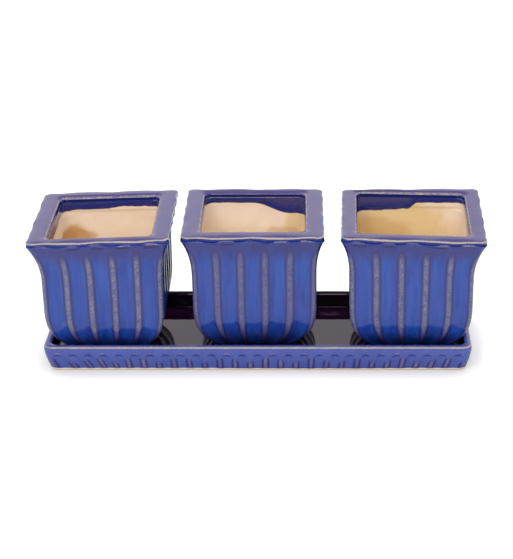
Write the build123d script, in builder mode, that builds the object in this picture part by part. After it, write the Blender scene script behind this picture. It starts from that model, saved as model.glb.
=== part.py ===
from build123d import *

import os
from math import cos, radians, sin, sqrt

# Glazed herb planter: three square fluted pots standing loose in one long fluted tray.
# Millimetres, +Z up. The origin is on the table under the middle of the set, +X runs along
# the tray and -Y is its front. The three pots are one shape, set down a little askew.

# Outside of a pot
pot_height = 104.9
rim_width = 112.0
rim_overhang = 6.8  # from the upright wall out to the edge of the rim
rim_corner = 5.0
rim_edge_round = 2.0
lip_height = 5.0  # side of the rim
lip_step = 0.8  # how far the lip stands out over the ribs
flare_height = 32.0  # long cove that spreads from the upright wall out to the lip
flare_curve = 2.5  # power of the cove's curve
upright_height = 20.0  # straight wall below the cove
foot_width = 56.0
foot_curve = 3.0  # power of the curve that draws the wall in to the foot
body_corner = 4.0

# Flutes on each side of a pot, at its upright wall
pot_flutes = 5
pot_flute_depth = 2.2
pot_rib = 5.0
pot_corner_rib = 4.6  # from the last flute to the corner
flute_fade = 0.7  # share of its depth that a flute loses in the cove, up to the lip

# Inside of a pot
rim_band = 14.5  # flat top of the rim, from its outer edge to the opening
opening_depth = 13.0  # inner lip, from the top of the rim down to the wider hollow
opening_edge_round = 2.5
opening_corner = 4.0
pot_wall = 4.0  # behind the deepest part of a flute
pot_floor = 7.0
floor_round = 5.0
hollow_corner = 8.0
drain_diameter = 12.0
foot_ring = 8.0
foot_recess = 1.5

# How the pots stand in the tray
rim_gap = 10.3  # mean gap between neighbouring rims
end_gap = 2.0  # between an end pot and the tray's end wall, at the tray's rim
side_gap = 7.8  # between a pot and the tray's long walls, at the tray's rim
pot_stands = {  # shift along X and Y from the pot's even place, and its turn in degrees
    "left_pot": (-0.3, -1.8, 0.8),
    "middle_pot": (-2.9, 4.2, 1.0),
    "right_pot": (0.7, 0.8, -0.7),
}
set_shift = -1.2  # along Y, to bring the middle of the whole set over the origin

# Tray
tray_height = 22.7
tray_floor = 9.5  # top of the floor above the table
tray_wall = 5.7  # at the rim
tray_rim_band = 4.5  # plain upright band above the flutes
tray_draw_in = 4.0  # how far each wall leans in to the foot
tray_inner_draft = 1.5
tray_corner = 6.5
tray_inner_corner = 7.0
tray_floor_round = 3.0
tray_edge_round = 1.6
tray_long_flutes = 27
tray_short_flutes = 8
tray_flute_depth = 0.9
tray_rib = 4.0
tray_foot_line = 1.3  # plain foot below the flutes
tray_foot_ring = 9.0
tray_foot_recess = 1.2

# Worked out from the sizes above
rim_half = rim_width / 2
body_half = rim_half - rim_overhang
flare_out = rim_overhang - lip_step
lip_base = pot_height - lip_height
neck = lip_base - flare_height
belly = neck - upright_height
lip_overlap = 1.0  # how far the body runs up into the rim
flute_width = (2 * body_half - 2 * pot_corner_rib - (pot_flutes - 1) * pot_rib) / pot_flutes
flute_pitch = flute_width + pot_rib
opening = rim_width - 2 * rim_band
hollow_top = pot_height - opening_depth
foot_inside = foot_width - 2 * foot_ring


def flare(z):
    """Share of the cove's spread that is reached at height z: 0 at the neck and 1 at the lip."""
    return (max(z - neck, 0) / flare_height) ** flare_curve


def half_width(z):
    """Half the pot's width over its ribs at height z above its foot."""
    if z < belly:
        return body_half - (body_half - foot_width / 2) * (1 - z / belly) ** foot_curve
    return body_half + flare_out * flare(z)


def hollow_width(z):
    """Width of the pot's hollow at height z, a wall's thickness behind the flutes."""
    return 2 * (half_width(z) - pot_flute_depth - pot_wall)


def reach(turn):
    """How far a pot turned by some degrees reaches from its axis, at the height of the tray's rim."""
    half = half_width(tray_height - tray_floor)
    corner = body_corner * half / body_half
    angle = radians(abs(turn))
    return (half - corner) * (cos(angle) + sin(angle)) + corner


def steps(low, high, count):
    """Heights from low up to high in equal steps, both ends included."""
    return [low + (high - low) * k / count for k in range(count + 1)]


def fluted_square(z):
    """Outline of a pot at height z: hollow arcs between flat ribs."""
    spread = half_width(z) / body_half
    depth = pot_flute_depth * (1 - flute_fade * flare(z))
    corner_end = body_half - body_corner
    first_flute = pot_corner_rib - body_half
    corner_cut = body_corner * (1 - sqrt(0.5))
    with BuildSketch(Plane.XY.offset(z)) as outline:
        with BuildLine():
            for side in range(4):

                def on_side(along, inward=0.0):
                    return Vector(along, inward - body_half).rotate(Axis.Z, 90 * side) * spread

                Line(on_side(-corner_end), on_side(first_flute))
                for k in range(pot_flutes):
                    left = first_flute + k * flute_pitch
                    right = left + flute_width
                    ThreePointArc(on_side(left), on_side((left + right) / 2, depth), on_side(right))
                    if k < pot_flutes - 1:
                        Line(on_side(right), on_side(right + pot_rib))
                Line(on_side(-first_flute), on_side(corner_end))
                corner_middle = on_side(body_half - corner_cut, corner_cut)
                ThreePointArc(on_side(corner_end), corner_middle, on_side(body_half, body_corner))
        make_face()
    return outline.sketch


# Space inside a pot, with its opening through the rim, its drain hole and the hollow under its foot
with BuildPart() as pot_space:
    for z in steps(pot_floor, belly, 6):
        with BuildSketch(Plane.XY.offset(z)):
            RectangleRounded(hollow_width(z), hollow_width(z), hollow_corner)
    loft()
    fillet(pot_space.faces().sort_by(Axis.Z)[0].edges(), floor_round)
    with BuildSketch(Plane.XY.offset(belly)):
        RectangleRounded(hollow_width(belly), hollow_width(belly), hollow_corner)
    extrude(amount=hollow_top - belly)
    with BuildSketch(Plane.XY.offset(hollow_top)):
        RectangleRounded(opening, opening, opening_corner)
    extrude(amount=opening_depth)
    with BuildSketch():
        Circle(drain_diameter / 2)
    extrude(amount=pot_floor)
    with BuildSketch():
        RectangleRounded(foot_inside, foot_inside, body_corner)
    extrude(amount=foot_recess)

# One pot, standing on its foot at the origin
with BuildPart() as pot:
    # rim
    with BuildSketch(Plane.XY.offset(lip_base)):
        RectangleRounded(rim_width, rim_width, rim_corner)
    extrude(amount=lip_height)
    fillet(pot.faces().sort_by(Axis.Z)[-1].edges(), rim_edge_round)

    # fluted body, from the foot up into the rim
    loft([fluted_square(z) for z in steps(0, lip_base + lip_overlap, 12)])
    add(pot_space.part, mode=Mode.SUBTRACT)
    fillet(pot.faces().sort_by(Axis.Z)[-1].inner_wires()[0].edges(), opening_edge_round)

# Tray, as long and as wide as the three pots need
pot_spacing = rim_width + rim_gap
pot_reach = max(reach(turn) for _, _, turn in pot_stands.values())
tray_length = 2 * (pot_spacing + pot_reach + end_gap + tray_wall)
tray_width = 2 * (pot_reach + side_gap + tray_wall)
tray_lean_height = tray_height - tray_rim_band
tray_lean_length = sqrt(tray_lean_height**2 + tray_draw_in**2)


def tray_outline(inset, corner):
    """Draws the tray's rounded rectangle, drawn in by an inset on every side, into the open sketch."""
    RectangleRounded(tray_length - 2 * inset, tray_width - 2 * inset, corner)


def leaning_face(out_x, out_y, half):
    """Plane of a tray wall's outer face, with its y axis up the slope from the foot."""
    foot = half - tray_draw_in
    return Plane(
        origin=(out_x * foot, out_y * foot, 0),
        x_dir=(-out_y, out_x, 0),
        z_dir=(out_x * tray_lean_height, out_y * tray_lean_height, -tray_draw_in),
    )


with BuildPart() as tray:
    for z, inset in ((0, tray_draw_in), (tray_lean_height, 0), (tray_height, 0)):
        with BuildSketch(Plane.XY.offset(z)):
            tray_outline(inset, tray_corner)
    loft(ruled=True)

    # hollow for the pots, with a little draft
    for z, inset in ((tray_floor, tray_wall + tray_inner_draft), (tray_height, tray_wall)):
        with BuildSketch(Plane.XY.offset(z)):
            tray_outline(inset, tray_inner_corner)
    loft(ruled=True, mode=Mode.SUBTRACT)
    floor_face = tray.faces().filter_by(Plane.XY).filter_by_position(Axis.Z, tray_floor, tray_floor)
    fillet(floor_face.edges(), tray_floor_round)
    fillet(tray.faces().sort_by(Axis.Z)[-1].edges(), tray_edge_round)

    # shallow arched flutes along each leaning wall
    long_walls = [(0, out, tray_width / 2, tray_length / 2, tray_long_flutes) for out in (-1, 1)]
    short_walls = [(out, 0, tray_length / 2, tray_width / 2, tray_short_flutes) for out in (-1, 1)]
    for out_x, out_y, half, half_run, flutes in long_walls + short_walls:
        run = 2 * (half_run - tray_draw_in - tray_corner)
        pitch = (run + tray_rib) / flutes
        arch_radius = (pitch - tray_rib) / 2
        arch_base = tray_lean_length - arch_radius
        with BuildSketch(leaning_face(out_x, out_y, half)):
            with Locations((0, tray_foot_line)):
                with GridLocations(pitch, 1, flutes, 1):
                    upright = arch_base - tray_foot_line
                    Rectangle(2 * arch_radius, upright, align=(Align.CENTER, Align.MIN))
            with Locations((0, arch_base)):
                with GridLocations(pitch, 1, flutes, 1):
                    Circle(arch_radius)
        extrude(amount=-tray_flute_depth, mode=Mode.SUBTRACT)

    # hollow under the tray, inside its foot
    with BuildSketch():
        tray_outline(tray_draw_in + tray_foot_ring, tray_inner_corner)
    extrude(amount=tray_foot_recess, mode=Mode.SUBTRACT)

os.makedirs("parts", exist_ok=True)
placed_tray = tray.part.moved(Location((0, set_shift, 0)))
placed_tray.label = "tray"
export_step(placed_tray, "parts/tray.step")

even_places = {"left_pot": -pot_spacing, "middle_pot": 0.0, "right_pot": pot_spacing}
for name, (shift_x, shift_y, turn) in pot_stands.items():
    place = (even_places[name] + shift_x, set_shift + shift_y, tray_floor)
    placed_pot = pot.part.moved(Location(place, (0, 0, turn)))
    placed_pot.label = name
    export_step(placed_pot, f"parts/{name}.step")
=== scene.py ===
from collections import namedtuple
from math import cos, radians, sin, sqrt

import bmesh
import bpy
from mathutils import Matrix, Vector


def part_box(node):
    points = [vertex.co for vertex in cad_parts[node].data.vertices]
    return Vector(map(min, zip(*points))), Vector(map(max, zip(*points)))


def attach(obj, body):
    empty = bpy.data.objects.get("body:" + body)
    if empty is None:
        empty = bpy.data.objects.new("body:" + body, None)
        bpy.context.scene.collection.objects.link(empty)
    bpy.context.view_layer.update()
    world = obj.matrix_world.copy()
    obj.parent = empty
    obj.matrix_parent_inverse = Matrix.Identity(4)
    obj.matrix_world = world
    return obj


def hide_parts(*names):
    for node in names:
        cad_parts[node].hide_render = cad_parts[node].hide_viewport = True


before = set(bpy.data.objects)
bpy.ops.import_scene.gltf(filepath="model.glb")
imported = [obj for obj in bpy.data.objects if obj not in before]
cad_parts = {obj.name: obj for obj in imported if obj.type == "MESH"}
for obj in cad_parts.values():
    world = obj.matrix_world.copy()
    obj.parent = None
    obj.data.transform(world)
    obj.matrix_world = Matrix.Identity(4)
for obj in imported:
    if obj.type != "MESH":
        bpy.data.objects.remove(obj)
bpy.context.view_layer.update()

MM = 0.001

# Pot, in millimetres: the sizes of the part's source, and the finer relief that is modelled here alone
POT_HEIGHT = (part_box("left_pot")[1].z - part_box("left_pot")[0].z) / MM
RIM_HALF = 56.0
RIM_CORNER = 5.0
RIM_WAVE = 0.5  # how far the lip draws in over each flute
LIP_DROOP = 0.45  # how far the lip rises and falls along a side
LIP_HEIGHT = 5.0
LIP_STEP = 0.8
BODY_HALF = 49.2
BODY_CORNER = 4.0
FLARE_HEIGHT = 32.0
FLARE_CURVE = 2.5
UPRIGHT_HEIGHT = 20.0
FOOT_HALF = 28.0
FOOT_CURVE = 3.0
FOOT_RING = 8.0
FOOT_RECESS = 1.5
POT_FLUTES = 5
POT_FLUTE_DEPTH = 2.2
FLUTE_TOP = 9.0  # from the rim down to where a flute's round top dies out
FLUTE_ARCH = 5.0  # height of that round top
FLUTE_FADE = (17, 1)  # from below to above a flute's top, where its depth dies out
RIB_SPREAD = 0.12  # how much less the ribs spread in the cove than the corners do
POT_RIB = 5.0
POT_CORNER_RIB = 4.6
POT_WALL = 4.0
POT_FLOOR = 7.0
OPENING_HALF = 41.5
OPENING_CORNER = 4.0
OPENING_ROUNDER = 0.4  # share by which an opening's corners came out rounder
MOUTH_END = 60.0  # height at which the hollow is even again below an uneven opening
HOLLOW_CORNER = 8.0
DRAIN_RADIUS = 6.0
LIP_BASE = POT_HEIGHT - LIP_HEIGHT
NECK = LIP_BASE - FLARE_HEIGHT
BELLY = NECK - UPRIGHT_HEIGHT
FLARE_OUT = RIM_HALF - LIP_STEP - BODY_HALF

# Rings of a pot: heights on its wall, depths below its rim in its cove, and heights in its hollow
WALL_RINGS = (1, 2, 4, 6, 8, 10, 12.5, 15, 18, 21, 24, 28, 32, 36, 41, 46, 52, 58, 64, 70)
WALL_RINGS += (75, 79, 82.5, 85.5, 88)
COVE_RINGS = (15.2, 13.6, 12.2, 11.0, 9.9, 8.9, 8.0, 7.2, 6.6, 6.0)
HOLLOW_RINGS = (79, 74, 68, 62, 55, 48, 41, 34, 28, 22, 17, 13)
INNER_LIP_TOP = 7.0  # depth below the rim at which the straight part of the inner lip starts
INNER_LIP_EDGE = 0.8  # height of the rounded edge below it
HOLLOW_HEAD = 22.0  # depth below the rim down to which the rings under the inner lip are spaced evenly
HOLLOW_HEAD_RINGS = 7
FLOOR_ROUND = ((9.4, 30.6), (7.7, 28.0), (POT_FLOOR, 25.0))  # height and half width

# Glaze on a pot, by heights between which something comes in or dies out
GRAIN_FOOT = (9, 28)  # the ribs' grain comes in
GRAIN_HEAD = (POT_HEIGHT - 24, POT_HEIGHT - 8)  # the ribs' grain dies out
HAZE_HEAD = (POT_HEIGHT - 32, POT_HEIGHT - 7)  # the cove turns hazy
SHADE_FOOT = (9, 22)  # the painted shade near the foot, a painted dark reflection of the tray, dies out
HAZE = 0.12
SOFT_SHADE = 0.34  # painted shade near the foot and beside the ribs
DASH_SHADOW = 1.3  # painted shadow in the flutes under the lip
DASH_BELOW = 6.6  # below the rim
DASH_REACH = 1.2
FLAT_RIM = -0.5  # the rib mark of the flat rim

# Wear and pools by side: front, right, back and left
LIP_WEAR = (1.0, 0.75, 0.15, 0.75)
MOUTH_WEAR_FRONT = 0.7
MOUTH_WEAR_SIDES = 1.25
MOUTH_POOL = (0.7, 0.9, 1.0, 0.9)
TRAY_EDGE_WEAR = (1.0, 0.8, 0.3, 0.8)
TRAY_TOP_THIN = (0.0, -0.3, 0.1, -0.3)
BACK = 2

# How each pot came out of the kiln and was set down, in millimetres where nothing else is said
Stance = namedtuple(
    "Stance",
    [
        "turn",  # degrees, counterclockwise from above
        "body_wide",  # how much wider than even each side of its body is
        "rim_wide",  # the same for its rim
        "rim_shift",  # how far its rim is shifted to the right
        "rib_shift",  # the same for its ribs
        "rise",  # how far its rim is lifted
        "right_lift",  # how far the rim's right edge is lifted, and its left edge lowered
        "back_lift",  # the same for its back and front edges
        "twist",  # how far two opposite corners of the rim are lifted, and the others lowered
        "mouth_back",  # how far its opening is shifted to the back
        "mouth_wide",  # how much wider than even each side of the opening is
        "mouth_deep",  # the same from front to back
        "mouth_skew",  # how far the opening reaches back at its left more than in its middle
        "lip_depth",  # depth of its inner lip
        "lip_wave",  # where the wave of its outer lip starts, in radians
        "groove",  # how dark the groove round its outer lip is, from 0 to 1: partly pooled glaze, partly a painted dark reflection
        "roll_worn",  # how worn the roll along the back of its opening is, where 1 is even
        "line_worn",  # the same for the line below that roll
        "pools",  # flutes on each side, counted from 0, with a painted shadow under the lip
    ],
)
STANCES = {
    "left_pot": Stance(
        turn=0.8, body_wide=-1.6, rim_wide=0.5, rim_shift=-1.2, rib_shift=0.3,
        rise=0.5, right_lift=1.6, back_lift=0.2, twist=0.0,
        mouth_back=-0.7, mouth_wide=-1.2, mouth_deep=1.3, mouth_skew=0.0,
        lip_depth=13.0, lip_wave=13.0, groove=0.6, roll_worn=1.2, line_worn=0.6, pools=(1, 2, 3, 4),
    ),
    "middle_pot": Stance(
        turn=1.0, body_wide=0.3, rim_wide=1.0, rim_shift=-0.7, rib_shift=-1.2,
        rise=1.1, right_lift=-0.3, back_lift=-0.4, twist=0.0,
        mouth_back=2.3, mouth_wide=-1.2, mouth_deep=1.3, mouth_skew=0.0,
        lip_depth=7.5, lip_wave=7.5, groove=1.0, roll_worn=0.7, line_worn=1.3, pools=(1,),
    ),
    "right_pot": Stance(
        turn=-0.7, body_wide=0.2, rim_wide=1.8, rim_shift=1.2, rib_shift=1.5,
        rise=1.2, right_lift=-0.5, back_lift=0.8, twist=1.1,
        mouth_back=2.0, mouth_wide=1.1, mouth_deep=1.7, mouth_skew=2.5,
        lip_depth=13.0, lip_wave=13.0, groove=0.9, roll_worn=1.3, line_worn=0.5, pools=(0, 1, 3),
    ),
}

# Where a pot's glaze ends inside: millimetres below the rim at places round the opening, where 0 to 1
# is the front wall from the left, 1 to 2 the right wall from the front, 2 to 3 the back wall from the
# right and 3 to 4 the left wall from the back
GLAZE_LINE = {
    "left_pot": [
        (0.0, 15), (1.0, 13), (2.0, 10), (2.35, 9.5), (2.55, 11.0), (2.9, 11.5), (3.2, 16), (3.6, 16),
    ],
    "middle_pot": [(0.0, 9), (1.0, 15), (1.7, 17), (2.05, 19), (2.52, 10), (3.0, 10), (3.5, 9)],
    "right_pot": [(0.0, 15), (1.0, 10), (2.0, 8.5), (2.42, 9), (2.54, 15), (2.95, 16.5), (3.4, 17)],
}

# Tray, in millimetres over the table
TRAY_LOW, TRAY_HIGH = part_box("tray")
TRAY_HALF_LENGTH = (TRAY_HIGH.x - TRAY_LOW.x) / 2 / MM
TRAY_HALF_WIDTH = (TRAY_HIGH.y - TRAY_LOW.y) / 2 / MM
TRAY_HEIGHT = TRAY_HIGH.z / MM
TRAY_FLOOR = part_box("left_pot")[0].z / MM
TRAY_WALL = 5.7
TRAY_RIM_BAND = 4.5
TRAY_DRAW_IN = 4.0
TRAY_INNER_DRAFT = 1.5
TRAY_CORNER = 6.5
TRAY_INNER_CORNER = 7.0
TRAY_FLUTES = (27, 8)
TRAY_FLUTE_DEPTH = 0.9
TRAY_RIB = 4.0
TRAY_FOOT_RING = 9.0
TRAY_FOOT_RECESS = 1.2
TRAY_LEAN = 1.3  # power of the curve by which its walls lean in
TRAY_RINGS = (3.0, 4.5, 6.0, 7.5, 9.0, 10.5, 12.0)
ARCH_FOOT = 12.0  # where the arch over a flute starts
ARCH_STEP = 1.5  # how far it climbs over a rib
ARCH_RISE = 3.6  # how much further over the flute
SLANT_LEFT = 7.0  # how far ribs near the left end slant to the middle at the foot
SLANT_RIGHT = 2.0
SLANT_REACH = (100, 140, 150, 172)  # from the middle: where the slant starts, is full, fades and ends

# What the glaze does at a point: thin on a rib, or below zero on the flat rim, broken on an edge, bare
# by some millimetres, and dark where it pools and where shade is painted
MARKS = ("rib", "edge", "bare", "pool")
GLAZED = -20.0
BARE = 20.0
SHOULDER = 0.3  # share of a rib's width by which its grain reaches into a flute
SHOULDER_MARK = 0.28

# One column of vertices: its side, its place along that side from -1 to 1, its turn round the corner in
# degrees, its flute, how deep it lies in the flute, how high in the flute's arch, and how near a rib's
# crest
Column = namedtuple("Column", "side along bend flute hollow arch crest")

# Size of a casting's unevenness, coarse and fine, and the distance at which vertices merge, in metres
WOBBLE_SIZE = 0.045
GRAIN_SIZE = 0.011
MERGE = 0.00002


def smooth(low, high, value):
    """Rises smoothly from 0 at low to 1 at high."""
    t = min(max((value - low) / (high - low), 0.0), 1.0)
    return t * t * (3 - 2 * t)


def peak(centre, reach, value):
    """1 at the centre, falling evenly to 0 at some reach from it."""
    return max(0.0, 1 - abs(value - centre) / reach)


def fluted_columns(flat_halves, flutes, rib, flute_steps, rib_steps, corner_steps):
    """Columns once round a fluted rectangle, whose flat sides have the given half lengths."""
    columns = []
    for side in range(4):
        flat = flat_halves[side % 2]
        count = flutes[side % 2]
        width = (2 * flat - (count - 1) * rib) / count
        for k in range(count):
            left = -flat + k * (width + rib)
            for step in range(flute_steps + 1):
                across = 2 * step / flute_steps - 1
                place = (left + width * (across + 1) / 2) / flat
                hollow = 1 - across**2
                shoulder = smooth(width / 2 - SHOULDER * rib, width / 2, abs(across) * width / 2)
                crest = shoulder * SHOULDER_MARK
                columns.append(Column(side, place, 0.0, k, hollow, sqrt(hollow), crest))
            if k < count - 1:
                for step in range(1, rib_steps):
                    place = (left + width + rib * step / rib_steps) / flat
                    columns.append(Column(side, place, 0.0, -1, 0.0, 0.0, 1.0))
        for step in range(1, corner_steps):
            columns.append(Column(side, 1.0, 90 * step / corner_steps, -1, 0.0, 0.0, 1.0))
    return columns


def plan_point(column, half_x, half_y, corner, sink=0.0):
    """Point of a rounded rectangle on a column, sunk into its side."""
    across, out = (half_x, half_y) if column.side % 2 == 0 else (half_y, half_x)
    turn = radians(column.bend)
    x = column.along * (across - corner) + corner * sin(turn)
    y = -(out - corner) - corner * cos(turn) + sink
    for _ in range(column.side):
        x, y = -y, x
    return x, y


def put_ring(piece, ring):
    """Puts the selected ring of vertices where it belongs, with its marks."""
    mesh = bmesh.from_edit_mesh(piece.data)
    number = mesh.verts.layers.int["column"]
    marks = [mesh.verts.layers.float[name] for name in MARKS]
    for vert in mesh.verts:
        if vert.select:
            place, values = ring[vert[number]]
            vert.co = place
            for mark, value in zip(marks, values):
                vert[mark] = value
    bmesh.update_edit_mesh(piece.data)


def raise_wall(name, rings):
    """Models a wall from a circle, extruded ring by ring, and leaves it in edit mode."""
    bpy.ops.object.select_all(action="DESELECT")
    bpy.ops.mesh.primitive_circle_add(vertices=len(rings[0]), radius=MM)
    piece = bpy.context.object
    piece.name = piece.data.name = name
    bpy.ops.object.mode_set(mode="EDIT")
    mesh = bmesh.from_edit_mesh(piece.data)
    mesh.verts.layers.int.new("column")
    for mark in MARKS:
        mesh.verts.layers.float.new(mark)
    number = mesh.verts.layers.int["column"]
    mesh.verts.ensure_lookup_table()
    for index, vert in enumerate(mesh.verts):
        vert[number] = index
    bmesh.update_edit_mesh(piece.data)
    bpy.ops.mesh.select_all(action="SELECT")
    put_ring(piece, rings[0])
    for ring in rings[1:]:
        bpy.ops.mesh.extrude_edges_move()
        put_ring(piece, ring)
    return piece


def ring_of(columns, shape, marks):
    """One ring: shape gives a column's x, y and z in millimetres, marks gives its glaze marks."""
    ring = []
    for column in columns:
        ring.append((Vector(shape(column)) * MM, marks(column)))
    return ring


def glazed(bare=GLAZED, pool=0.0):
    """Marks that are the same all round."""
    return lambda column: (0.0, 0.0, bare, pool)


def finish_wall(piece, wobble, grain):
    """Smooths a wall and gives it the slight unevenness of a casting."""
    bpy.ops.mesh.select_all(action="SELECT")
    bpy.ops.mesh.remove_doubles(threshold=MERGE)
    bpy.ops.mesh.normals_make_consistent(inside=False)
    bpy.ops.object.mode_set(mode="OBJECT")
    rounding = piece.modifiers.new("rounding", "SUBSURF")
    rounding.levels = rounding.render_levels = 1
    bpy.ops.object.modifier_apply(modifier="rounding")
    for name, size, strength in (("wobble", WOBBLE_SIZE, wobble), ("grain", GRAIN_SIZE, grain)):
        texture = bpy.data.textures.new(f"{piece.name}_{name}", "CLOUDS")
        texture.noise_scale = size
        uneven = piece.modifiers.new(name, "DISPLACE")
        uneven.texture = texture
        uneven.texture_coords = "LOCAL"
        uneven.strength = strength * MM
        uneven.mid_level = 0.5
        bpy.ops.object.modifier_apply(modifier=name)
    bpy.ops.object.shade_smooth()


# Pot


def flare(z):
    """Share of the cove's spread that is reached at height z."""
    return (max(z - NECK, 0) / FLARE_HEIGHT) ** FLARE_CURVE


def pot_half(z):
    """Half the pot's width over its ribs at height z above its foot."""
    if z < BELLY:
        return BODY_HALF - (BODY_HALF - FOOT_HALF) * (1 - z / BELLY) ** FOOT_CURVE
    return BODY_HALF + FLARE_OUT * flare(z)


def glaze_limit(line, column):
    """How far below the rim the glaze runs inside, on one column."""
    corner_share = column.bend / 90 * 0.02
    place = (column.side + (column.along + 1) / 2 + corner_share) % 4
    stations = line + [(4.0, line[0][1])]
    for (start, first), (end, last) in zip(stations, stations[1:]):
        if start <= place <= end:
            return first + (last - first) * smooth(start, end, place)
    return line[0][1]


def askew(stance, x, y, z):
    """Where a point of an even pot lies on a pot that came out of the kiln uneven."""
    top = smooth(NECK, POT_HEIGHT, z)
    wide = 1 + (stance.body_wide + (stance.rim_wide - stance.body_wide) * top) / RIM_HALF
    middle = max(0.0, 1 - (x / BODY_HALF) ** 2) * (1 - top)
    tilt = (stance.right_lift * x + stance.back_lift * y) / RIM_HALF
    tilt += stance.twist * x * y / RIM_HALF**2
    lift = (stance.rise + tilt) * smooth(BELLY, POT_HEIGHT, z)
    return x * wide + stance.rim_shift * top + stance.rib_shift * middle, y, z + lift


def pot_rings(columns, stance, glaze_line):
    """All rings of a pot, from its drain hole underneath, up the outside and down the inside."""
    rings = []

    def add_ring(shape, marks):
        rings.append(ring_of(columns, lambda column: askew(stance, *shape(column)), marks))

    def square(z, half, corner, marks):
        add_ring(lambda column: (*plan_point(column, half, half, corner), z), marks)

    def round_hole(z, radius, marks):
        def shape(column):
            x, y = plan_point(column, 1.0, 1.0, 0.1)
            length = sqrt(x * x + y * y)
            return x / length * radius, y / length * radius, z

        add_ring(shape, marks)

    def flute_top(column):
        return POT_HEIGHT - FLUTE_TOP - FLUTE_ARCH * (1 - column.arch)

    def fluted(z, half, marks):
        size = half / BODY_HALF

        def shape(column):
            top = flute_top(column)
            faded = smooth(top - FLUTE_FADE[0], top + FLUTE_FADE[1], z)
            sink = POT_FLUTE_DEPTH * min(size, 1) * column.hollow * (1 - faded)
            spread = 1 - RIB_SPREAD * flare(z) * (1 - column.along**2)
            placed = column._replace(along=column.along * spread)
            return (*plan_point(placed, half, half, BODY_CORNER * size, sink), z)

        add_ring(shape, marks)

    def wall(z):
        below = POT_HEIGHT - z

        def marks(column):
            head = 1 - smooth(*GRAIN_HEAD, z)
            rib = column.crest * head * (0.3 + 0.7 * smooth(*GRAIN_FOOT, z))
            haze = HAZE * smooth(*HAZE_HEAD, z)
            # painted shade: darker near the foot, a painted dark reflection of the tray's wall
            pool = SOFT_SHADE * (1 - smooth(*SHADE_FOOT, z))
            if column.flute >= 0:
                # painted shade along the flute's edges beside the ribs
                border_shade = SOFT_SHADE * (1 - smooth(0.3, 0.7, column.hollow)) * head
                # painted shadow under the lip's overhang, over some flutes
                dash = DASH_SHADOW * peak(DASH_BELOW, DASH_REACH, below) * smooth(0.55, 0.8, column.arch)
                pool = max(pool, border_shade, dash * (column.flute in stance.pools))
            return max(rib, haze), 0.0, GLAZED, pool

        fluted(z, pot_half(z), marks)

    # underside and foot
    bare = glazed(bare=BARE)
    foot_inner = FOOT_HALF - FOOT_RING
    round_hole(FOOT_RECESS + 0.6, DRAIN_RADIUS, bare)
    round_hole(FOOT_RECESS, DRAIN_RADIUS + 0.8, bare)
    square(FOOT_RECESS, foot_inner - 0.8, BODY_CORNER, bare)
    square(FOOT_RECESS - 0.3, foot_inner, BODY_CORNER, bare)
    square(0.4, foot_inner + 0.2, BODY_CORNER, bare)
    square(0.2, foot_inner + 0.8, BODY_CORNER, bare)
    fluted(0.2, FOOT_HALF - 1.2, bare)
    fluted(0.4, FOOT_HALF - 0.3, bare)

    # fluted wall, then the cove
    for z in WALL_RINGS:
        wall(z)
    for below in COVE_RINGS:
        wall(POT_HEIGHT - below)

    # lip: a broken lower edge over the flutes, a groove darkened partly by pooled glaze and partly by a
    # painted dark reflection, and a worn upper edge
    def lip(below, inset, edge=0.0, pool=0.0, arched=0.0, dashes=0.0, thin=0.1):
        def shape(column):
            half = RIM_HALF - inset - RIM_WAVE * column.hollow
            droop = LIP_DROOP * sin(7 * column.along + 2 * column.side + stance.lip_wave + 0.3 * below)
            z = POT_HEIGHT - below + arched * column.arch + droop * smooth(0, 1.2, below)
            return (*plan_point(column, half, half, RIM_CORNER), z)

        def marks(column):
            worn = edge * LIP_WEAR[column.side]
            uneven = 0.75 + 0.25 * sin(5 * column.flute + column.side)
            dash = dashes * smooth(0.4, 0.9, column.arch) * uneven
            return thin, max(worn, dash), GLAZED, pool * stance.groove

        add_ring(shape, marks)

    lip(5.5, 1.0, arched=0.5, dashes=0.25)
    lip(5.2, 0.55, edge=0.1, pool=0.1, arched=0.8, dashes=0.65)
    lip(4.7, 0.4, edge=0.1, pool=0.3, arched=0.8, dashes=0.55)
    lip(4.1, 0.55, pool=0.6, arched=0.6)
    lip(3.1, 0.85, pool=0.65, arched=0.2)
    lip(2.2, 0.85, pool=0.65)
    lip(1.9, 0.6, edge=0.4, pool=0.4)
    lip(1.5, 0.5, edge=0.75, pool=0.1)
    lip(1.1, 0.8, edge=0.95)
    lip(0.8, 1.4, edge=0.65, thin=-0.2)
    lip(0.45, 2.5, thin=FLAT_RIM)

    # flat rim, a mottled roll, a dark groove and a second worn line
    def mouth(z, half, corner, marks):
        near = smooth(MOUTH_END, LIP_BASE, z)

        def shape(column):
            across = half + stance.mouth_wide * near
            deep = half + stance.mouth_deep * near
            x, y = plan_point(column, across, deep, corner * (1 + OPENING_ROUNDER * near))
            back = stance.mouth_back - stance.mouth_skew * x / across * smooth(0, deep, y)
            return x, y + back * near, z

        add_ring(shape, marks)

    def rim(below, half, corner, thin=FLAT_RIM, edge=0.0, pool=0.0):
        back_wear = stance.roll_worn if thin < 0 else stance.line_worn
        wear = (MOUTH_WEAR_FRONT, MOUTH_WEAR_SIDES, back_wear, MOUTH_WEAR_SIDES)

        def marks(column):
            return thin, edge * wear[column.side], GLAZED, pool * MOUTH_POOL[column.side]

        mouth(POT_HEIGHT - below, half, corner, marks)

    def flat(column):
        return FLAT_RIM, 0.0, GLAZED, 0.0

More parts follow.
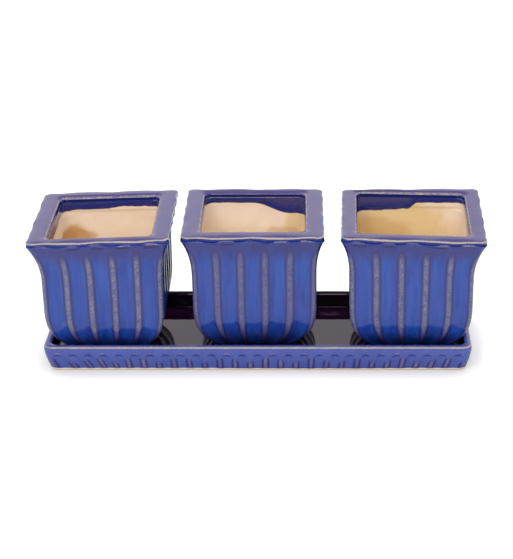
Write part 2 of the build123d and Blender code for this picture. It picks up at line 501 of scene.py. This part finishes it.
    for below, inset in ((0.15, 4.6), (0.0, 7.5)):
        square(POT_HEIGHT - below, RIM_HALF - inset, RIM_CORNER, flat)
    rim(0.1, OPENING_HALF + 4.5, 4.8)
    rim(0.3, OPENING_HALF + 3.6, 4.6)
    rim(0.6, OPENING_HALF + 2.8, 4.5, pool=0.2)
    rim(0.8, OPENING_HALF + 2.1, 4.4, edge=0.3, pool=0.2)
    rim(1.1, OPENING_HALF + 1.3, 4.3, edge=0.5)
    rim(1.9, OPENING_HALF + 0.7, 4.2, edge=0.45, pool=0.2)
    rim(2.6, OPENING_HALF + 0.4, 4.1, thin=-0.2, edge=0.1, pool=0.8)
    rim(3.4, OPENING_HALF + 0.2, OPENING_CORNER, thin=0.1, pool=0.85)
    rim(4.2, OPENING_HALF, OPENING_CORNER, thin=0.1, pool=0.75)
    rim(4.8, OPENING_HALF - 0.2, OPENING_CORNER, thin=0.1, edge=0.62, pool=0.4)

    # inside, glazed down to an uneven line
    def inside(below, half, corner):
        def marks(column):
            past = below - glaze_limit(glaze_line, column)
            thin = 0.4 * smooth(-4, -8, past)
            pool = 0.15 + 0.45 * smooth(-7, -3, past)
            return thin, 0.0, past, pool

        mouth(POT_HEIGHT - below, half, corner, marks)

    for below in (5.4, 6.2, INNER_LIP_TOP):
        inside(below, OPENING_HALF + 0.1, OPENING_CORNER)
    for share in (0.3, 0.6, 0.9):
        below = INNER_LIP_TOP + (stance.lip_depth - INNER_LIP_TOP) * share
        inside(below, OPENING_HALF + 0.2, OPENING_CORNER)
    inside(stance.lip_depth, OPENING_HALF + 0.7, OPENING_CORNER + 1)
    under_lip = stance.lip_depth + INNER_LIP_EDGE
    inside(under_lip, OPENING_HALF + 1.3, OPENING_CORNER + 2)
    for step in range(1, HOLLOW_HEAD_RINGS + 1):
        below = under_lip + (HOLLOW_HEAD - under_lip) * step / HOLLOW_HEAD_RINGS
        inside(below, BODY_HALF - POT_FLUTE_DEPTH - POT_WALL, HOLLOW_CORNER)
    for z in HOLLOW_RINGS:
        inside(POT_HEIGHT - z, pot_half(min(z, BELLY)) - POT_FLUTE_DEPTH - POT_WALL, HOLLOW_CORNER)
    for z, half in FLOOR_ROUND:
        inside(POT_HEIGHT - z, half, HOLLOW_CORNER)
    round_hole(POT_FLOOR, DRAIN_RADIUS + 1.0, bare)
    round_hole(POT_FLOOR - 0.8, DRAIN_RADIUS, bare)
    return rings


def make_pot(node):
    """One glazed pot in place of its CAD node, turned as it was set down."""
    low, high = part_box(node)
    flat = BODY_HALF - POT_CORNER_RIB
    flutes = (POT_FLUTES, POT_FLUTES)
    columns = fluted_columns((flat, flat), flutes, POT_RIB, flute_steps=8, rib_steps=3, corner_steps=5)
    stance = STANCES[node]
    pot = raise_wall(f"{node}_glazed", pot_rings(columns, stance, GLAZE_LINE[node]))
    bpy.ops.mesh.select_all(action="DESELECT")
    bpy.ops.mesh.select_non_manifold()
    bpy.ops.mesh.bridge_edge_loops()
    bpy.ops.mesh.select_all(action="SELECT")
    clockwise = -radians(stance.turn)
    bpy.ops.transform.rotate(value=clockwise, orient_axis="Z", center_override=(0, 0, 0))
    bpy.ops.transform.translate(value=((low.x + high.x) / 2, (low.y + high.y) / 2, low.z))
    finish_wall(pot, wobble=0.4, grain=0.1)
    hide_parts(node)
    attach(pot, node)
    return pot


# Tray


def tray_rings(columns):
    """All rings of the tray, from under its foot, up the fluted outside and down to its floor."""
    rings = []
    lean_top = TRAY_HEIGHT - TRAY_RIM_BAND

    def lean(z):
        return TRAY_DRAW_IN * (1 - z / lean_top) ** TRAY_LEAN

    def slant(x, z):
        start, full, fade, end = SLANT_REACH
        reach = SLANT_LEFT * smooth(-start, -full, x) * smooth(-end, -fade, x)
        reach -= SLANT_RIGHT * smooth(start, full, x) * smooth(end, fade, x)
        return reach * (1 - z / lean_top)

    def rectangle(z, inset, corner, marks, depth=0.0):
        def shape(column):
            half_x = TRAY_HALF_LENGTH - inset
            half_y = TRAY_HALF_WIDTH - inset
            x, y = plan_point(column, half_x, half_y, corner, depth * column.hollow)
            return x + (slant(x, z) if depth else 0.0), y, z

        rings.append(ring_of(columns, shape, marks))

    # underside and foot
    bare = glazed(bare=BARE)
    recess = TRAY_DRAW_IN + TRAY_FOOT_RING
    rectangle(TRAY_FOOT_RECESS, recess + 1, TRAY_CORNER, bare)
    rectangle(TRAY_FOOT_RECESS, recess, TRAY_CORNER, bare)
    rectangle(0.4, recess - 0.5, TRAY_CORNER, bare)
    rectangle(0.2, recess - 1, TRAY_CORNER, bare)
    rectangle(0.2, TRAY_DRAW_IN + 1.2, TRAY_CORNER, bare)
    rectangle(0.4, TRAY_DRAW_IN + 0.3, TRAY_CORNER, bare)

    # fluted wall
    def foot_marks(column):
        return 0.0, 0.0, sin(3 * column.along + 4) + 0.1, 0.4

    rectangle(1.2, lean(1.2), TRAY_CORNER, glazed(bare=1.6))
    rectangle(2.2, lean(2.2), TRAY_CORNER, foot_marks, TRAY_FLUTE_DEPTH * 0.5)
    for z in TRAY_RINGS:

        def rib_marks(column):
            uneven = 0.72 + 0.28 * sin(9 * column.along + 2.6 * column.side + 1)
            reach = 11.5 + 2.5 * sin(29 * column.along + column.side)
            present = 1 - smooth(reach - 4, reach + 1, z)
            # painted shade along the flutes' edges beside the ribs
            border_shade = 0.45 * (column.flute >= 0) * (1 - smooth(0.1, 0.6, column.hollow))
            return column.crest * uneven * present, 0.0, GLAZED, border_shade * present

        rectangle(z, lean(z), TRAY_CORNER, rib_marks, TRAY_FLUTE_DEPTH)

    # arch over each flute
    for share in (0.3, 0.6, 0.85, 1.0):

        def arch(column):
            z = ARCH_FOOT + share * (ARCH_STEP + ARCH_RISE * column.arch)
            half_x = TRAY_HALF_LENGTH - lean(z)
            half_y = TRAY_HALF_WIDTH - lean(z)
            sink = TRAY_FLUTE_DEPTH * column.hollow * (1 - share**3)
            return (*plan_point(column, half_x, half_y, TRAY_CORNER, sink), z)

        def arch_marks(column):
            uneven = 0.6 + 0.2 * sin(31 * column.along + column.side)
            worn = uneven * column.arch * peak(0.9, 0.25, share)
            # painted shade just under the arch's edge
            pool = 0.6 * column.arch * peak(0.55, 0.3, share)
            return 0.0, worn, GLAZED, pool

        rings.append(ring_of(columns, arch, arch_marks))

    # plain rim band, its worn edge and the top
    for z in (lean_top, lean_top + 1.5, TRAY_HEIGHT - 2.2):
        rectangle(z, 0.0, TRAY_CORNER, glazed())
    for below, inset, worn in ((1.5, 0.15, 0.6), (0.9, 0.5, 1.0), (0.5, 1.1, 0.7)):

        # the back edge is painted dark, a painted dark reflection
        def edge_marks(column):
            return 0.0, worn * TRAY_EDGE_WEAR[column.side], GLAZED, 0.7 * (column.side == BACK)

        rectangle(TRAY_HEIGHT - below, inset, TRAY_CORNER, edge_marks)

    def top_marks(column):
        # the back of the top is painted dark, a painted dark reflection
        return TRAY_TOP_THIN[column.side], 0.0, GLAZED, 1.0 * (column.side == BACK)

    rectangle(TRAY_HEIGHT - 0.2, 2.0, TRAY_CORNER, top_marks)
    rectangle(TRAY_HEIGHT, TRAY_WALL - 2.2, TRAY_CORNER, top_marks)
    rectangle(TRAY_HEIGHT - 0.3, TRAY_WALL - 0.9, TRAY_INNER_CORNER, top_marks)
    rectangle(TRAY_HEIGHT - 1.4, TRAY_WALL, TRAY_INNER_CORNER, top_marks)

    # inside wall and floor, painted near black and, on the floor, plum, as shade
    for z in (20.0, 17.0, 14.0):
        draft = TRAY_INNER_DRAFT * (TRAY_HEIGHT - z) / (TRAY_HEIGHT - TRAY_FLOOR)
        rectangle(z, TRAY_WALL + draft, TRAY_INNER_CORNER, glazed(pool=1.0))
    rectangle(TRAY_FLOOR + 0.7, TRAY_WALL + 1.5, TRAY_INNER_CORNER, glazed(pool=1.0))
    rectangle(TRAY_FLOOR + 0.15, TRAY_WALL + 1.7, TRAY_INNER_CORNER, glazed(pool=1.0))
    rectangle(TRAY_FLOOR, TRAY_WALL + 2.3, TRAY_INNER_CORNER, glazed(pool=1.1))
    rectangle(TRAY_FLOOR, TRAY_WALL + 8.0, TRAY_INNER_CORNER, glazed(pool=1.4))
    return rings


def close_ring(piece, height, above):
    """Closes the open end of a wall that lies above, or below, some height."""
    bpy.ops.mesh.select_all(action="DESELECT")
    bpy.ops.mesh.select_non_manifold()
    mesh = bmesh.from_edit_mesh(piece.data)
    for vert in mesh.verts:
        if vert.select and (vert.co.z > height) != above:
            vert.select_set(False)
    mesh.select_flush_mode()
    bpy.ops.mesh.edge_face_add()


def make_tray():
    """The glazed tray in place of its CAD node."""
    flats = (TRAY_HALF_LENGTH - TRAY_CORNER, TRAY_HALF_WIDTH - TRAY_CORNER)
    columns = fluted_columns(flats, TRAY_FLUTES, TRAY_RIB, flute_steps=5, rib_steps=3, corner_steps=5)
    tray = raise_wall("tray_glazed", tray_rings(columns))
    bpy.ops.mesh.select_all(action="SELECT")
    bpy.ops.transform.translate(value=(0, (TRAY_LOW.y + TRAY_HIGH.y) / 2, 0))
    finish_wall(tray, wobble=0.3, grain=0.12)
    bpy.ops.object.mode_set(mode="EDIT")
    for above in (True, False):
        close_ring(tray, TRAY_FLOOR / 2 * MM, above)
    bpy.ops.object.mode_set(mode="OBJECT")
    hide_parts("tray")
    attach(tray, "tray")
    return tray


# Node helpers


def add_node(tree, kind, inputs=None, **settings):
    """Adds a node, sets its properties, and fills or links its inputs."""
    node = tree.nodes.new(kind)
    for name, value in settings.items():
        setattr(node, name, value)
    for key, value in (inputs or {}).items():
        if isinstance(value, bpy.types.NodeSocket):
            tree.links.new(value, node.inputs[key])
        else:
            node.inputs[key].default_value = value
    return node


def calc(tree, operation, first, second=0.0, third=0.0):
    """One sum, as a value."""
    inputs = {0: first, 1: second, 2: third}
    return add_node(tree, "ShaderNodeMath", inputs, operation=operation).outputs[0]


def vector_calc(tree, operation, first, second):
    """One sum with vectors, as a vector."""
    return add_node(tree, "ShaderNodeVectorMath", {0: first, 1: second}, operation=operation).outputs[0]


def step_up(tree, value, low, high):
    """Rises smoothly from 0 at low to 1 at high."""
    inputs = {"Value": value, "From Min": low, "From Max": high}
    node = add_node(tree, "ShaderNodeMapRange", inputs, interpolation_type="SMOOTHSTEP")
    return node.outputs["Result"]


def vector_length(tree, vector):
    """Length of a vector."""
    return add_node(tree, "ShaderNodeVectorMath", {0: vector}, operation="LENGTH").outputs["Value"]


def between(tree, share, first, second):
    """Mixes two values."""
    return add_node(tree, "ShaderNodeMix", {0: share, 2: first, 3: second}).outputs[0]


def blend(tree, share, first, second):
    """Mixes two colours."""
    inputs = {0: share, 6: first, 7: second}
    return add_node(tree, "ShaderNodeMix", inputs, data_type="RGBA").outputs[2]


def noise(tree, where, scale, detail=2.0, roughness=0.5):
    """Soft noise from 0 to 1 at some size, in features to the metre."""
    inputs = {"Vector": where, "Scale": scale, "Detail": detail, "Roughness": roughness}
    return add_node(tree, "ShaderNodeTexNoise", inputs).outputs["Fac"]


def mark(tree, name):
    """One of the marks kept on the vertices."""
    return add_node(tree, "ShaderNodeAttribute", attribute_name=name).outputs["Fac"]


def new_group(name, inputs, outputs):
    """An empty shader group with named sockets, and its two end nodes."""
    tree = bpy.data.node_groups.new(name, "ShaderNodeTree")
    for label in inputs:
        tree.interface.new_socket(label, in_out="INPUT", socket_type="NodeSocketFloat")
    for label, kind in outputs.items():
        tree.interface.new_socket(label, in_out="OUTPUT", socket_type=kind)
    return tree, tree.nodes.new("NodeGroupInput").outputs, tree.nodes.new("NodeGroupOutput").inputs


def use_group(tree, group, inputs):
    """Places a group in a material."""
    return add_node(tree, "ShaderNodeGroup", inputs, node_tree=group).outputs


def object_place(tree):
    """Where a point lies on the object, in metres."""
    return add_node(tree, "ShaderNodeTexCoord").outputs["Object"]


# Finishes

COBALT_DEEP = (0.007, 0.036, 0.25, 1)
COBALT_BRIGHT = (0.018, 0.071, 0.37, 1)
COBALT_CLOUD = (0.022, 0.054, 0.31, 1)
HAZE_VIOLET = (0.027, 0.024, 0.145, 1)
CREST_BLUE = (0.055, 0.058, 0.20, 1)
LAVENDER = (0.078, 0.063, 0.20, 1)
LAVENDER_WARM = (0.092, 0.070, 0.19, 1)
# Dark blue and near black serve both pooled glaze and painted shade; plum is painted shade alone
POOL_AND_SHADE_BLUE = (0.004, 0.016, 0.17, 1)
POOL_AND_SHADE_BLACK = (0.008, 0.003, 0.010, 1)
PAINTED_SHADE_PLUM = (0.018, 0.004, 0.022, 1)
MILKY_BLUE = (0.090, 0.125, 0.390, 1)
RIB_GREY = (0.21, 0.21, 0.26, 1)
WORN_BEIGE = (0.43, 0.36, 0.28, 1)
GLAZE_EDGE_BROWN = (0.17, 0.095, 0.05, 1)
CLAY_BUFF = (0.88, 0.70, 0.53, 1)
CLAY_PALE = (0.91, 0.76, 0.60, 1)
CLAY_SPECK = (0.45, 0.28, 0.16, 1)
OCHRE = (0.56, 0.30, 0.075, 1)
STRAW = (0.74, 0.52, 0.18, 1)
TRAY_SHEEN = (1.0, 0.75, 0.95, 1)


def glaze_break_group():
    """Where the glaze breaks: a fine grey grain on the ribs, a worn beige line along the edges."""
    outputs = {"Grain": "NodeSocketFloat", "Worn": "NodeSocketFloat"}
    tree, given, result = new_group("glaze break", ("Rib", "Edge"), outputs)
    where = object_place(tree)
    fine = noise(tree, where, 1100.0, 2.0, 0.6)
    patch = noise(tree, where, 160.0, 2.0)
    grain = calc(tree, "MULTIPLY_ADD", patch, 0.35, fine)
    grain = step_up(tree, grain, 0.5, 0.86)
    on_rib = step_up(tree, given["Rib"], 0.45, 0.95)
    tree.links.new(calc(tree, "MULTIPLY", grain, on_rib), result["Grain"])
    worn = calc(tree, "MULTIPLY_ADD", fine, 0.9, given["Edge"])
    worn = calc(tree, "MULTIPLY_ADD", patch, 0.35, worn)
    worn = step_up(tree, worn, 1.0, 1.45)
    on_edge = step_up(tree, given["Edge"], 0.05, 0.3)
    tree.links.new(calc(tree, "MULTIPLY", worn, on_edge), result["Worn"])
    return tree


def cobalt_group():
    """Cobalt glaze: mottled by runs down the wall, violet where it thins, near black where it pools and
    where shade is painted.
    """
    tree, given, result = new_group("cobalt glaze", ("Rib", "Pool"), {"Color": "NodeSocketColor"})
    where = object_place(tree)
    stretch = vector_calc(tree, "MULTIPLY", where, (1.0, 1.0, 0.12))
    runs = noise(tree, stretch, 170.0, 3.0)
    cloud = noise(tree, where, 45.0, 2.0)
    colour = blend(tree, step_up(tree, runs, 0.3, 0.7), COBALT_DEEP, COBALT_BRIGHT)
    colour = blend(tree, step_up(tree, cloud, 0.35, 0.8), colour, COBALT_CLOUD)
    haze = step_up(tree, given["Rib"], 0.02, 0.16)
    colour = blend(tree, haze, colour, HAZE_VIOLET)
    crest = step_up(tree, given["Rib"], 0.13, 0.55)
    colour = blend(tree, crest, colour, CREST_BLUE)
    flat = step_up(tree, calc(tree, "MULTIPLY", given["Rib"], -1.0), 0.1, 0.45)
    lavender = blend(tree, step_up(tree, cloud, 0.35, 0.65), LAVENDER, LAVENDER_WARM)
    colour = blend(tree, flat, colour, lavender)
    # pooled glaze and painted shade: dark blue, then near black, then plum
    for start, full, tone in ((0.2, 0.6, POOL_AND_SHADE_BLUE), (0.65, 1.0, POOL_AND_SHADE_BLACK), (1.05, 1.3, PAINTED_SHADE_PLUM)):
        colour = blend(tree, step_up(tree, given["Pool"], start, full), colour, tone)
    tree.links.new(colour, result["Color"])
    return tree


def clay_group():
    """Bare buff clay: a soft cloudy tone, fine grain and a few dark specks."""
    outputs = {"Color": "NodeSocketColor", "Grain": "NodeSocketFloat"}
    tree, _, result = new_group("bare clay", (), outputs)
    where = object_place(tree)
    cloud = noise(tree, where, 60.0, 3.0)
    grain = noise(tree, where, 1400.0, 3.0, 0.65)
    specks = step_up(tree, noise(tree, where, 420.0, 1.0), 0.74, 0.8)
    colour = blend(tree, step_up(tree, cloud, 0.3, 0.7), CLAY_BUFF, CLAY_PALE)
    colour = blend(tree, calc(tree, "MULTIPLY", specks, 0.35), colour, CLAY_SPECK)
    tree.links.new(colour, result["Color"])
    tree.links.new(grain, result["Grain"])
    return tree


GLAZE_BREAK = glaze_break_group()
COBALT = cobalt_group()
CLAY = clay_group()


def glaze_material(name, stains=(), ribs=0.8, milky=0.0, tint=(1, 1, 1, 1)):
    """Glossy cobalt glaze, more or less milky, over buff clay with patches of wash."""
    material = bpy.data.materials.new(name)
    material.use_nodes = True
    tree = material.node_tree
    shader = tree.nodes["Principled BSDF"]
    where = object_place(tree)
    rib = mark(tree, "rib")
    grain, worn = use_group(tree, GLAZE_BREAK, {"Rib": rib, "Edge": mark(tree, "edge")})
    pool = mark(tree, "pool")
    cobalt = use_group(tree, COBALT, {"Rib": rib, "Pool": pool})["Color"]
    clay, clay_grain = use_group(tree, CLAY, {})
    shader.inputs["Specular Tint"].default_value = tint

    # glaze, greyed by fine grain on the ribs and worn to beige on the edges
    thinner = calc(tree, "SUBTRACT", 1.0, step_up(tree, pool, 0.02, 0.3))
    cobalt = blend(tree, calc(tree, "MULTIPLY", thinner, milky), cobalt, MILKY_BLUE)
    glaze = blend(tree, calc(tree, "MULTIPLY", grain, ribs), cobalt, RIB_GREY)
    glaze = blend(tree, worn, glaze, WORN_BEIGE)

    # wash on the clay, glossier than the rest of it
    ragged = calc(tree, "SUBTRACT", noise(tree, where, 70.0, 3.0), 0.5)
    washed = 0.0
    for middle, stretch, strength, colour in stains:
        away = vector_calc(tree, "DIVIDE", vector_calc(tree, "SUBTRACT", where, middle), stretch)
        away = calc(tree, "MULTIPLY_ADD", ragged, 0.8, vector_length(tree, away))
        wash = calc(tree, "SUBTRACT", 1.0, step_up(tree, away, 0.55, 1.05))
        wash = calc(tree, "MULTIPLY", wash, strength)
        washed = calc(tree, "MAXIMUM", wash, washed)
        clay = blend(tree, wash, clay, colour)

    # the glaze ends in a wavering line with a thin brown edge
    waver = noise(tree, where, 130.0, 3.0)
    past = calc(tree, "MULTIPLY_ADD", waver, 2.0, mark(tree, "bare"))
    naked = step_up(tree, past, 0.8, 1.2)
    edge = calc(tree, "MULTIPLY", step_up(tree, past, 0.2, 0.8), 0.75)
    glaze = blend(tree, edge, glaze, GLAZE_EDGE_BROWN)
    tree.links.new(blend(tree, naked, glaze, clay), shader.inputs["Base Color"])

    rough = calc(tree, "MULTIPLY_ADD", grain, 0.15, 0.05)
    rough = calc(tree, "MULTIPLY_ADD", worn, 0.25, rough)
    dull = calc(tree, "MULTIPLY_ADD", washed, -0.5, 0.8)
    tree.links.new(between(tree, naked, rough, dull), shader.inputs["Roughness"])

    # ripples, smoother where the glaze pools and where shade is painted, and the clay a little lower
    # than the glaze
    lively = calc(tree, "MULTIPLY_ADD", pool, -0.25, 0.3)
    ripple = calc(tree, "MULTIPLY", noise(tree, where, 95.0, 2.0), lively)
    ripple = calc(tree, "MULTIPLY_ADD", grain, 0.05, ripple)
    bare_height = calc(tree, "MULTIPLY_ADD", clay_grain, 0.12, -0.3)
    height = between(tree, naked, ripple, bare_height)
    bump = add_node(tree, "ShaderNodeBump", {"Height": height, "Strength": 0.5, "Distance": MM})
    tree.links.new(bump.outputs["Normal"], shader.inputs["Normal"])
    return material


def finish_in(piece, material):
    """Gives a piece its only material."""
    piece.data.materials.clear()
    piece.data.materials.append(material)


# Wash on each pot's clay: the middle of a stain, its reach along X, Y and Z, its strength and its colour
STAINS = {
    "left_pot": [((-0.1566, 0.040, 0.076), (0.022, 0.02, 0.014), 0.85, OCHRE)],
    "middle_pot": [
        ((0.032, 0.046, 0.086), (0.013, 0.02, 0.018), 0.55, STRAW),
        ((0.018, 0.046, 0.077), (0.020, 0.02, 0.008), 0.4, OCHRE),
    ],
    "right_pot": [
        ((0.115, 0.042, 0.086), (0.052, 0.03, 0.030), 0.7, STRAW),
        ((0.097, 0.042, 0.080), (0.036, 0.03, 0.018), 0.45, OCHRE),
    ],
}
RIB_GRAIN = {"left_pot": 0.85, "middle_pot": 0.42, "right_pot": 0.8}
for pot_node in STANCES:
    pot_glaze = glaze_material(f"{pot_node}_glaze", STAINS[pot_node], RIB_GRAIN[pot_node])
    finish_in(make_pot(pot_node), pot_glaze)
finish_in(make_tray(), glaze_material("tray_glaze", milky=0.6, tint=TRAY_SHEEN))

# Studio: a pale floor, a white surround and soft light


def make_floor():
    """A wide white table top with a painted contact shadow near the object, whiter to the eye than as
    light on the object, far off most of all.
    """
    bpy.ops.object.select_all(action="DESELECT")
    bpy.ops.mesh.primitive_plane_add(size=8.0)
    floor = bpy.context.object
    floor.name = "floor"
    material = bpy.data.materials.new("white_table")
    material.use_nodes = True
    tree = material.node_tree
    shader = tree.nodes["Principled BSDF"]
    # painted contact shadow: the table's colour darkens where the object is near
    contact_shade = add_node(tree, "ShaderNodeAmbientOcclusion", {"Distance": 0.02}).outputs["AO"]
    white = blend(tree, contact_shade, (0.2, 0.2, 0.2, 1), (0.91, 0.90, 0.88, 1))
    tree.links.new(white, shader.inputs["Base Color"])
    shader.inputs["Roughness"].default_value = 0.9
    shader.inputs["Specular IOR Level"].default_value = 0.0
    path = add_node(tree, "ShaderNodeLightPath").outputs
    away = vector_length(tree, object_place(tree))
    glow = calc(tree, "MULTIPLY_ADD", step_up(tree, away, 0.6, 3.0), 0.6, 0.36)
    seen = calc(tree, "MULTIPLY", path["Is Camera Ray"], glow)
    seen = calc(tree, "MULTIPLY_ADD", path["Is Glossy Ray"], 0.1, seen)
    shader.inputs["Emission Color"].default_value = (1, 1, 1, 1)
    tree.links.new(seen, shader.inputs["Emission Strength"])
    finish_in(floor, material)


def make_surround():
    """White to the eye all round, softer as light, mirrored dimly overhead and behind the camera."""
    world = bpy.data.worlds.new("studio")
    bpy.context.scene.world = world
    world.use_nodes = True
    tree = world.node_tree
    background = tree.nodes["Background"]
    way = add_node(tree, "ShaderNodeTexCoord").outputs["Generated"]
    split = add_node(tree, "ShaderNodeSeparateXYZ", {0: way}).outputs
    path = add_node(tree, "ShaderNodeLightPath").outputs
    behind = step_up(tree, split["Y"], -0.35, 0.25)
    low = calc(tree, "MULTIPLY_ADD", step_up(tree, split["Z"], 0.45, 0.72), -0.85, 1.0)
    mirrored = calc(tree, "MULTIPLY_ADD", calc(tree, "MULTIPLY", behind, low), 0.9, 0.1)
    glossy = calc(tree, "MAXIMUM", path["Is Glossy Ray"], path["Is Transmission Ray"])
    level = between(tree, glossy, 0.5, mirrored)
    level = between(tree, path["Is Camera Ray"], level, 1.0)
    tree.links.new(level, background.inputs["Strength"])
    background.inputs["Color"].default_value = (1, 1, 1, 1)


def soft_box(name, place, target, width, height, power):
    """An area lamp that faces a point."""
    lamp = bpy.data.lights.new(name, "AREA")
    lamp.shape = "RECTANGLE"
    lamp.size = width
    lamp.size_y = height
    lamp.energy = power
    stand = bpy.data.objects.new(name, lamp)
    stand.location = place
    stand.rotation_euler = (Vector(target) - Vector(place)).to_track_quat("-Z", "Y").to_euler()
    bpy.context.scene.collection.objects.link(stand)
    return stand


make_floor()
make_surround()
overhead = soft_box("overhead", (0, 0.35, 1.6), (0, 0, 0.05), width=1.8, height=1.2, power=17.0)
overhead.visible_glossy = False  # the flat rims mirror the surround alone
soft_box("front", (-0.1, -2.0, 1.15), (0, 0, 0.06), width=2.0, height=0.8, power=23.0)
soft_box("glint", (-0.6, -1.3, 1.5), (0, 0, 0.06), width=0.25, height=0.25, power=4.0)

# Camera, at the photograph's viewing angle
IMAGE_WIDTH, IMAGE_HEIGHT = 513, 559
FOCAL_PIXELS = 1614.0
PRINCIPAL_X = 328.6
CAMERA_PLACE = (0.0568, -1.212, 0.596)
CAMERA_DOWN = 23.99  # degrees below level
camera_data = bpy.data.cameras.new("camera")
camera_data.sensor_width = 36.0
camera_data.lens = camera_data.sensor_width * FOCAL_PIXELS / IMAGE_HEIGHT
camera_data.shift_x = (IMAGE_WIDTH / 2 - PRINCIPAL_X) / IMAGE_HEIGHT
camera = bpy.data.objects.new("camera", camera_data)
camera.location = CAMERA_PLACE
camera.rotation_euler = (radians(90 - CAMERA_DOWN), 0, 0)
bpy.context.scene.collection.objects.link(camera)
bpy.context.scene.camera = camera
bpy.context.scene.view_settings.view_transform = "Standard"
